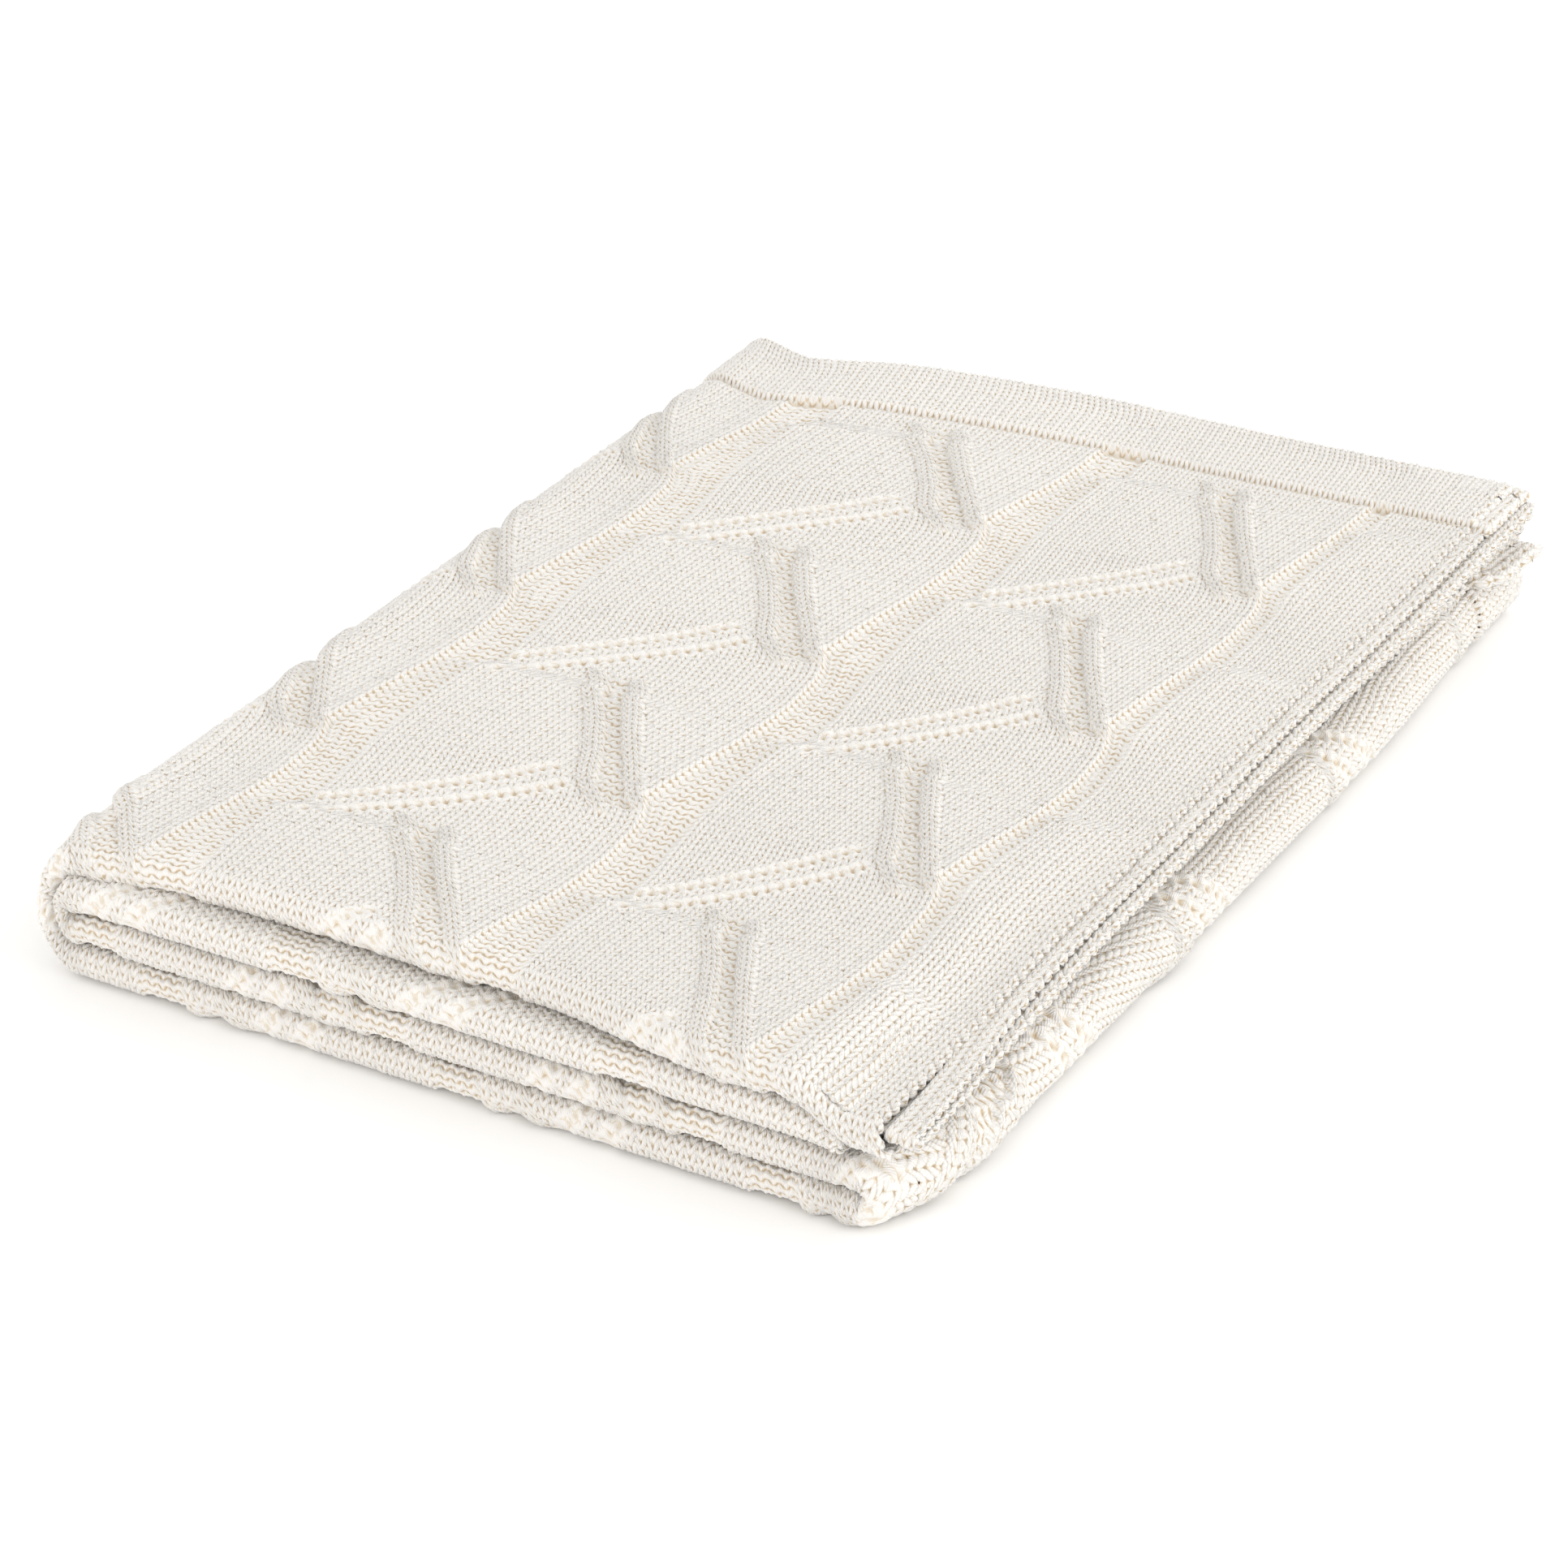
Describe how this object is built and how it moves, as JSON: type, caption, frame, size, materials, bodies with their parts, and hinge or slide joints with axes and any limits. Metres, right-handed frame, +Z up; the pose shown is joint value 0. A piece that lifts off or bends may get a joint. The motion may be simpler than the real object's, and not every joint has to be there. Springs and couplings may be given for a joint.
{
  "type": "folded throw blanket",
  "caption": "Cable-knit cotton throw folded into a flat rectangular stack, pattern outwards, hems at the back and free selvages at one side; the top half opens like a book about the last fold.",
  "frame": {"origin": "middle of the footprint, on the surface the stack lies on", "axes": "+X to the right, from the opening fold to the free selvages; +Y to the back, from the front folds to the hems; +Z up"},
  "size_m": [0.343, 0.455, 0.0494],
  "materials": {
    "cable_knit": "matt ivory cotton yarn, cable-knit",
    "knit_hem": "matt ivory cotton yarn, plain knit band",
    "knit_selvage": "matt ivory cotton yarn, chain edge"
  },
  "bodies": {
    "lower_half": {"bottom_quarter_back_fold": "cable_knit", "bottom_quarter_front_folds": "cable_knit", "bottom_quarter_hems": "knit_hem", "bottom_quarter_inner_hem_ply": "cable_knit", "bottom_quarter_inner_turned_ply": "cable_knit", "bottom_quarter_outer_hem_ply": "cable_knit", "bottom_quarter_outer_turned_ply": "cable_knit", "left_inner_wrap_lower": "cable_knit", "left_outer_wrap_lower": "cable_knit", "right_wrap": "cable_knit", "third_quarter_back_fold": "cable_knit", "third_quarter_front_folds": "cable_knit", "third_quarter_hems": "knit_hem", "third_quarter_inner_hem_ply": "cable_knit", "third_quarter_inner_turned_ply": "cable_knit", "third_quarter_outer_hem_ply": "cable_knit", "third_quarter_outer_turned_ply": "cable_knit"},
    "upper_half": {"left_inner_wrap_upper": "cable_knit", "left_outer_wrap_upper": "cable_knit", "second_quarter_back_fold": "cable_knit", "second_quarter_front_folds": "cable_knit", "second_quarter_hems": "knit_hem", "second_quarter_inner_hem_ply": "cable_knit", "second_quarter_inner_turned_ply": "cable_knit", "second_quarter_outer_hem_ply": "cable_knit", "second_quarter_outer_turned_ply": "cable_knit", "second_quarter_selvages": "knit_selvage", "top_quarter_back_fold": "cable_knit", "top_quarter_front_folds": "cable_knit", "top_quarter_hems": "knit_hem", "top_quarter_inner_hem_ply": "cable_knit", "top_quarter_inner_turned_ply": "cable_knit", "top_quarter_outer_hem_ply": "cable_knit", "top_quarter_outer_turned_ply": "cable_knit", "top_quarter_selvages": "knit_selvage"}
  },
  "joints": [
    {"name": "opening_fold", "type": "hinge", "parent": "lower_half", "child": "upper_half", "pos_m": [-0.1718, 0, 0.0247], "axis": [0, -1, 0], "range_deg": [0, 180]}
  ]
}
